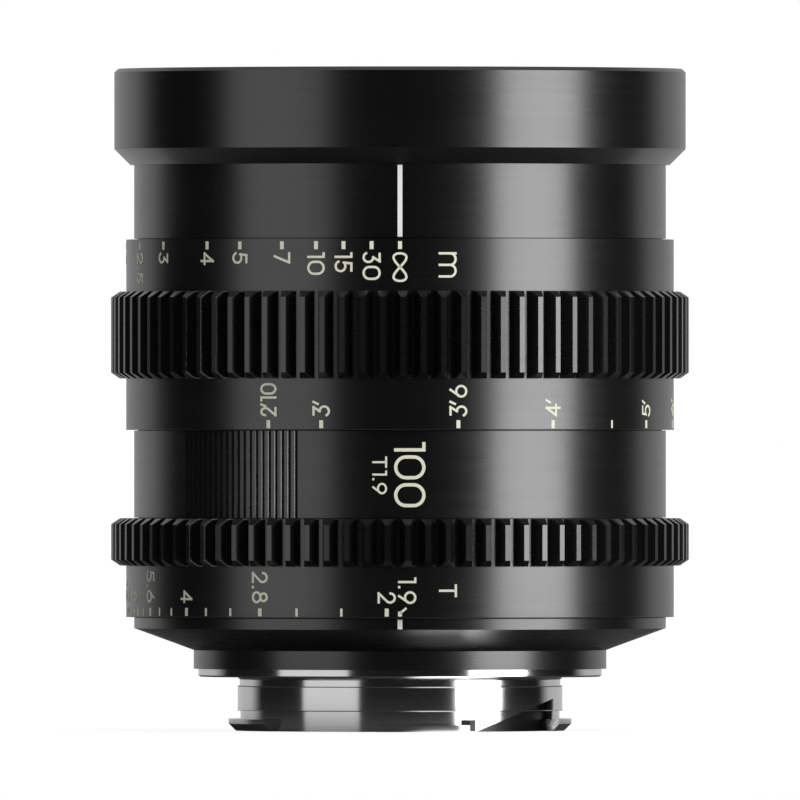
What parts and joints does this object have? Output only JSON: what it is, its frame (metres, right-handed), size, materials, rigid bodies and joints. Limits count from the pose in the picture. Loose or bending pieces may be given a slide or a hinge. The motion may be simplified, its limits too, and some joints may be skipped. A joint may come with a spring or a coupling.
{
  "type": "cinema prime lens",
  "caption": "Cinema prime lens with toothed focus and aperture rings, sliding optical block, bladed iris and rear bayonet mount.",
  "frame": {"origin": "on the optical axis, in the plane of the rear face that the lens stands on", "axes": "+Z along the optical axis towards the scene, the index lines face -Y, +X to the right seen from the index side"},
  "size_m": [0.0728, 0.0728, 0.0834],
  "materials": {
    "black_anodised": "satin black anodised",
    "inner_black": "matte black anodised",
    "chrome_plate": "polished chrome plate",
    "steel": "plain steel",
    "blade_steel": "blackened spring steel",
    "bearing_brass": "turned brass",
    "bearing_polymer": "black bearing plastic",
    "coated_glass": "multi-coated optical glass",
    "engraving_paint": "filled engraving",
    "index_paint": "white filled index lines"
  },
  "bodies": {
    "lens_body": {"front_ring": "black_anodised", "front_barrel": "black_anodised", "centre_barrel": "black_anodised", "rear_barrel": "black_anodised", "guide_barrel": "inner_black", "barrel_screws": "steel", "mount_adapter_ring": "black_anodised", "bayonet_mount": "chrome_plate", "mount_screws": "steel", "focus_washers": "bearing_polymer", "aperture_washers": "bearing_polymer"},
    "focus_ring": {"focus_ring": "black_anodised", "cam_sleeve": "bearing_brass", "focus_drive_pins": "steel"},
    "optical_block": {"focusing_barrel": "inner_black", "cam_followers": "bearing_brass", "front_cell": "inner_black", "middle_cell": "inner_black", "doublet_cell": "inner_black", "rear_cell": "inner_black", "front_lens_retainer": "inner_black", "front_trim_ring": "inner_black", "second_lens_retainer": "inner_black", "doublet_retainer": "inner_black", "rear_spacer": "inner_black", "rear_lens_retainer": "inner_black", "lens_1_front": "coated_glass", "lens_2": "coated_glass", "lens_3": "coated_glass", "lens_4": "coated_glass", "lens_5": "coated_glass", "lens_6": "coated_glass", "lens_7_rear": "coated_glass", "iris_base_plate": "inner_black", "iris_cover": "inner_black"},
    "aperture_ring": {"aperture_ring": "black_anodised", "aperture_key": "steel", "aperture_drive_rail": "steel"},
    "iris_cam_ring": {"iris_cam_ring": "bearing_brass"},
    "iris_blade_1": {"iris_blade_1": "blade_steel"},
    "iris_blade_2": {"iris_blade_2": "blade_steel"},
    "iris_blade_3": {"iris_blade_3": "blade_steel"},
    "iris_blade_4": {"iris_blade_4": "blade_steel"},
    "iris_blade_5": {"iris_blade_5": "blade_steel"},
    "iris_blade_6": {"iris_blade_6": "blade_steel"},
    "iris_blade_7": {"iris_blade_7": "blade_steel"},
    "iris_blade_8": {"iris_blade_8": "blade_steel"},
    "iris_blade_9": {"iris_blade_9": "blade_steel"}
  },
  "joints": [
    {"name": "focus_turn", "type": "hinge", "parent": "lens_body", "child": "focus_ring", "pos_m": [0, 0, 0.05], "axis": [0, 0, 1], "range_deg": [0, 212]},
    {"name": "focus_travel", "type": "slide", "parent": "lens_body", "child": "optical_block", "axis": [0, 0, 1], "range_m": [0, 0.0135]},
    {"name": "aperture_turn", "type": "hinge", "parent": "lens_body", "child": "aperture_ring", "pos_m": [0, 0, 0.02], "axis": [0, 0, 1], "range_deg": [0, 86]},
    {"name": "iris_ring_turn", "type": "hinge", "parent": "optical_block", "child": "iris_cam_ring", "pos_m": [0, 0, 0.0386], "axis": [0, 0, 1], "range_deg": [0, 86]},
    {"name": "iris_blade_1_swing", "type": "hinge", "parent": "optical_block", "child": "iris_blade_1", "pos_m": [0.0224, 0, 0.037], "axis": [0, 0, 1], "range_deg": [0, 32.4]},
    {"name": "iris_blade_2_swing", "type": "hinge", "parent": "optical_block", "child": "iris_blade_2", "pos_m": [0.01716, 0.0144, 0.037], "axis": [0, 0, 1], "range_deg": [0, 32.4]},
    {"name": "iris_blade_3_swing", "type": "hinge", "parent": "optical_block", "child": "iris_blade_3", "pos_m": [0.00389, 0.02206, 0.037], "axis": [0, 0, 1], "range_deg": [0, 32.4]},
    {"name": "iris_blade_4_swing", "type": "hinge", "parent": "optical_block", "child": "iris_blade_4", "pos_m": [-0.0112, 0.0194, 0.037], "axis": [0, 0, 1], "range_deg": [0, 32.4]},
    {"name": "iris_blade_5_swing", "type": "hinge", "parent": "optical_block", "child": "iris_blade_5", "pos_m": [-0.02105, 0.00766, 0.037], "axis": [0, 0, 1], "range_deg": [0, 32.4]},
    {"name": "iris_blade_6_swing", "type": "hinge", "parent": "optical_block", "child": "iris_blade_6", "pos_m": [-0.02105, -0.00766, 0.037], "axis": [0, 0, 1], "range_deg": [0, 32.4]},
    {"name": "iris_blade_7_swing", "type": "hinge", "parent": "optical_block", "child": "iris_blade_7", "pos_m": [-0.0112, -0.0194, 0.037], "axis": [0, 0, 1], "range_deg": [0, 32.4]},
    {"name": "iris_blade_8_swing", "type": "hinge", "parent": "optical_block", "child": "iris_blade_8", "pos_m": [0.00389, -0.02206, 0.037], "axis": [0, 0, 1], "range_deg": [0, 32.4]},
    {"name": "iris_blade_9_swing", "type": "hinge", "parent": "optical_block", "child": "iris_blade_9", "pos_m": [0.01716, -0.0144, 0.037], "axis": [0, 0, 1], "range_deg": [0, 32.4]}
  ],
  "couplings": [
    {"joint": "focus_travel", "follows": "focus_turn", "m_per_rad": 0.0036486},
    {"joint": "iris_ring_turn", "follows": "aperture_turn", "ratio": 1},
    {"joint": "iris_blade_1_swing", "follows": "aperture_turn", "ratio": 0.37678},
    {"joint": "iris_blade_2_swing", "follows": "aperture_turn", "ratio": 0.37678},
    {"joint": "iris_blade_3_swing", "follows": "aperture_turn", "ratio": 0.37678},
    {"joint": "iris_blade_4_swing", "follows": "aperture_turn", "ratio": 0.37678},
    {"joint": "iris_blade_5_swing", "follows": "aperture_turn", "ratio": 0.37678},
    {"joint": "iris_blade_6_swing", "follows": "aperture_turn", "ratio": 0.37678},
    {"joint": "iris_blade_7_swing", "follows": "aperture_turn", "ratio": 0.37678},
    {"joint": "iris_blade_8_swing", "follows": "aperture_turn", "ratio": 0.37678},
    {"joint": "iris_blade_9_swing", "follows": "aperture_turn", "ratio": 0.37678}
  ]
}
